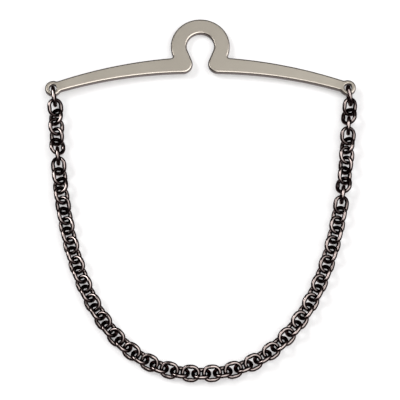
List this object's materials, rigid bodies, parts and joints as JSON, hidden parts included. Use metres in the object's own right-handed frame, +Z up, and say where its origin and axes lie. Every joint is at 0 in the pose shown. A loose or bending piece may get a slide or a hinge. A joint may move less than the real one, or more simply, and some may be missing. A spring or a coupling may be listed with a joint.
{
  "type": "tie chain",
  "caption": "Tie chain: a curved flat bar with a keyhole loop that slips over a shirt button, and a cable chain hung in a U between round lugs at its ends.",
  "frame": {"origin": "on the surface that it lies on, under the middle of its bounding box", "axes": "+X along the bar, +Y from the bottom of the chain towards the button loop, +Z up from the surface, out of the bar's front"},
  "size_m": [0.0662, 0.0788, 0.0035],
  "materials": {
    "bar_metal": "satin warm silver plate with burnished edges",
    "chain_metal": "dark polished wire, bright on its crowns and nearly black in the joints"
  },
  "bodies": {
    "bar": {"button_loop_bar": "bar_metal"},
    "row_01": {"left_link_01": "chain_metal", "right_link_01": "chain_metal"},
    "row_02": {"left_link_02": "chain_metal", "right_link_02": "chain_metal"},
    "row_03": {"left_link_03": "chain_metal", "right_link_03": "chain_metal"},
    "row_04": {"left_link_04": "chain_metal", "right_link_04": "chain_metal"},
    "row_05": {"left_link_05": "chain_metal", "right_link_05": "chain_metal"},
    "row_06": {"left_link_06": "chain_metal", "right_link_06": "chain_metal"},
    "row_07": {"left_link_07": "chain_metal", "right_link_07": "chain_metal"},
    "row_08": {"left_link_08": "chain_metal", "right_link_08": "chain_metal"},
    "row_09": {"left_link_09": "chain_metal", "right_link_09": "chain_metal"},
    "row_10": {"left_link_10": "chain_metal", "right_link_10": "chain_metal"},
    "row_11": {"left_link_11": "chain_metal", "right_link_11": "chain_metal"},
    "row_12": {"left_link_12": "chain_metal", "right_link_12": "chain_metal"},
    "row_13": {"left_link_13": "chain_metal", "right_link_13": "chain_metal"},
    "row_14": {"left_link_14": "chain_metal", "right_link_14": "chain_metal"},
    "row_15": {"left_link_15": "chain_metal", "right_link_15": "chain_metal"},
    "row_16": {"left_link_16": "chain_metal", "right_link_16": "chain_metal"},
    "row_17": {"left_link_17": "chain_metal", "right_link_17": "chain_metal"},
    "row_18": {"left_link_18": "chain_metal", "right_link_18": "chain_metal"},
    "row_19": {"left_link_19": "chain_metal", "right_link_19": "chain_metal"},
    "row_20": {"left_link_20": "chain_metal", "right_link_20": "chain_metal"},
    "row_21": {"left_link_21": "chain_metal", "right_link_21": "chain_metal"},
    "row_22": {"left_link_22": "chain_metal", "right_link_22": "chain_metal"},
    "row_23": {"left_link_23": "chain_metal", "right_link_23": "chain_metal"},
    "row_24": {"left_link_24": "chain_metal", "right_link_24": "chain_metal"},
    "lower_row_1": {"left_lower_pair_1": "chain_metal", "right_lower_pair_1": "chain_metal"},
    "lower_row_2": {"left_lower_pair_2": "chain_metal", "right_lower_pair_2": "chain_metal"},
    "lower_row_3": {"left_lower_pair_3": "chain_metal", "right_lower_pair_3": "chain_metal"},
    "lower_row_4": {"left_lower_pair_4": "chain_metal", "right_lower_pair_4": "chain_metal"},
    "bight": {"left_lower_pair_5": "chain_metal", "middle_link": "chain_metal", "right_lower_pair_5": "chain_metal"}
  },
  "joints": [
    {"name": "chain_swing", "type": "hinge", "parent": "bar", "child": "row_01", "pos_m": [0.00005, 0.02203, 0.00179], "axis": [-1, 0, 0], "range_deg": [-95, 100]},
    {"name": "row_02_fold", "type": "hinge", "parent": "row_01", "child": "row_02", "pos_m": [0.00031, 0.02016, 0.00179], "axis": [1, 0, 0], "range_deg": [-35, 10]},
    {"name": "row_03_fold", "type": "hinge", "parent": "row_02", "child": "row_03", "pos_m": [0.0003, 0.01801, 0.00123], "axis": [-1, 0, 0], "range_deg": [-40, 15]},
    {"name": "row_04_fold", "type": "hinge", "parent": "row_03", "child": "row_04", "pos_m": [0.00028, 0.01585, 0.00178], "axis": [1, 0, 0], "range_deg": [-40, 10]},
    {"name": "row_05_fold", "type": "hinge", "parent": "row_04", "child": "row_05", "pos_m": [0.00026, 0.01368, 0.00178], "axis": [-1, 0, 0], "range_deg": [-15, 40]},
    {"name": "row_06_fold", "type": "hinge", "parent": "row_05", "child": "row_06", "pos_m": [0.00025, 0.01152, 0.00134], "axis": [1, 0, 0], "range_deg": [-20, 40]},
    {"name": "row_07_fold", "type": "hinge", "parent": "row_06", "child": "row_07", "pos_m": [0.00023, 0.00936, 0.00179], "axis": [-1, 0, 0], "range_deg": [-15, 40]},
    {"name": "row_08_fold", "type": "hinge", "parent": "row_07", "child": "row_08", "pos_m": [0.00021, 0.0072, 0.00179], "axis": [1, 0, 0], "range_deg": [-40, 15]},
    {"name": "row_09_fold", "type": "hinge", "parent": "row_08", "child": "row_09", "pos_m": [0.0002, 0.00504, 0.00131], "axis": [-1, 0, 0], "range_deg": [-40, 40]},
    {"name": "row_10_fold", "type": "hinge", "parent": "row_09", "child": "row_10", "pos_m": [0.00018, 0.00289, 0.00123], "axis": [1, 0, 0], "range_deg": [-25, 40]},
    {"name": "row_11_fold", "type": "hinge", "parent": "row_10", "child": "row_11", "pos_m": [0.00017, 0.00074, 0.00179], "axis": [-1, 0, 0], "range_deg": [-10, 40]},
    {"name": "row_12_fold", "type": "hinge", "parent": "row_11", "child": "row_12", "pos_m": [0.00015, -0.00141, 0.00179], "axis": [1, 0, 0], "range_deg": [-40, 15]},
    {"name": "row_13_fold", "type": "hinge", "parent": "row_12", "child": "row_13", "pos_m": [0.00013, -0.00354, 0.00126], "axis": [-1, 0, 0], "range_deg": [-40, 40]},
    {"name": "row_14_fold", "type": "hinge", "parent": "row_13", "child": "row_14", "pos_m": [0.00012, -0.00567, 0.00126], "axis": [1, 0, 0], "range_deg": [-30, 40]},
    {"name": "row_15_fold", "type": "hinge", "parent": "row_14", "child": "row_15", "pos_m": [0.0001, -0.00779, 0.00127], "axis": [-1, 0, 0], "range_deg": [-30, 40]},
    {"name": "row_16_fold", "type": "hinge", "parent": "row_15", "child": "row_16", "pos_m": [0.00009, -0.0099, 0.00127], "axis": [1, 0, 0], "range_deg": [-30, 40]},
    {"name": "row_17_fold", "type": "hinge", "parent": "row_16", "child": "row_17", "pos_m": [0.00007, -0.01199, 0.00129], "axis": [-1, 0, 0], "range_deg": [-30, 40]},
    {"name": "row_18_fold", "type": "hinge", "parent": "row_17", "child": "row_18", "pos_m": [0.00005, -0.01406, 0.00129], "axis": [1, 0, 0], "range_deg": [-30, 40]},
    {"name": "row_19_fold", "type": "hinge", "parent": "row_18", "child": "row_19", "pos_m": [0.00004, -0.01612, 0.0013], "axis": [-1, 0, 0], "range_deg": [-25, 40]},
    {"name": "row_20_fold", "type": "hinge", "parent": "row_19", "child": "row_20", "pos_m": [0.00002, -0.01814, 0.0013], "axis": [1, 0, 0], "range_deg": [-25, 40]},
    {"name": "row_21_fold", "type": "hinge", "parent": "row_20", "child": "row_21", "pos_m": [0.00001, -0.02014, 0.00132], "axis": [-1, 0, 0], "range_deg": [-25, 40]},
    {"name": "row_22_fold", "type": "hinge", "parent": "row_21", "child": "row_22", "pos_m": [-0.00001, -0.02209, 0.00132], "axis": [1, 0, 0], "range_deg": [-25, 40]},
    {"name": "row_23_fold", "type": "hinge", "parent": "row_22", "child": "row_23", "pos_m": [-0.00002, -0.024, 0.00133], "axis": [-1, 0, 0], "range_deg": [-20, 40]},
    {"name": "row_24_fold", "type": "hinge", "parent": "row_23", "child": "row_24", "pos_m": [-0.00003, -0.02585, 0.00133], "axis": [1, 0, 0], "range_deg": [-20, 40]},
    {"name": "lower_row_1_fold", "type": "hinge", "parent": "row_24", "child": "lower_row_1", "pos_m": [-0.00005, -0.02764, 0.00135], "axis": [-1, 0, 0], "range_deg": [-20, 40]},
    {"name": "lower_row_2_fold", "type": "hinge", "parent": "lower_row_1", "child": "lower_row_2", "pos_m": [-0.00007, -0.03094, 0.00136], "axis": [1, 0, 0], "range_deg": [-40, 20]},
    {"name": "lower_row_3_fold", "type": "hinge", "parent": "lower_row_2", "child": "lower_row_3", "pos_m": [-0.00009, -0.03376, 0.00138], "axis": [-1, 0, 0], "range_deg": [-15, 40]},
    {"name": "lower_row_4_fold", "type": "hinge", "parent": "lower_row_3", "child": "lower_row_4", "pos_m": [-0.00011, -0.03591, 0.00139], "axis": [1, 0, 0], "range_deg": [-40, 15]},
    {"name": "bight_fold", "type": "hinge", "parent": "lower_row_4", "child": "bight", "pos_m": [-0.00012, -0.03723, 0.0014], "axis": [-1, 0, 0], "range_deg": [-15, 40]}
  ]
}
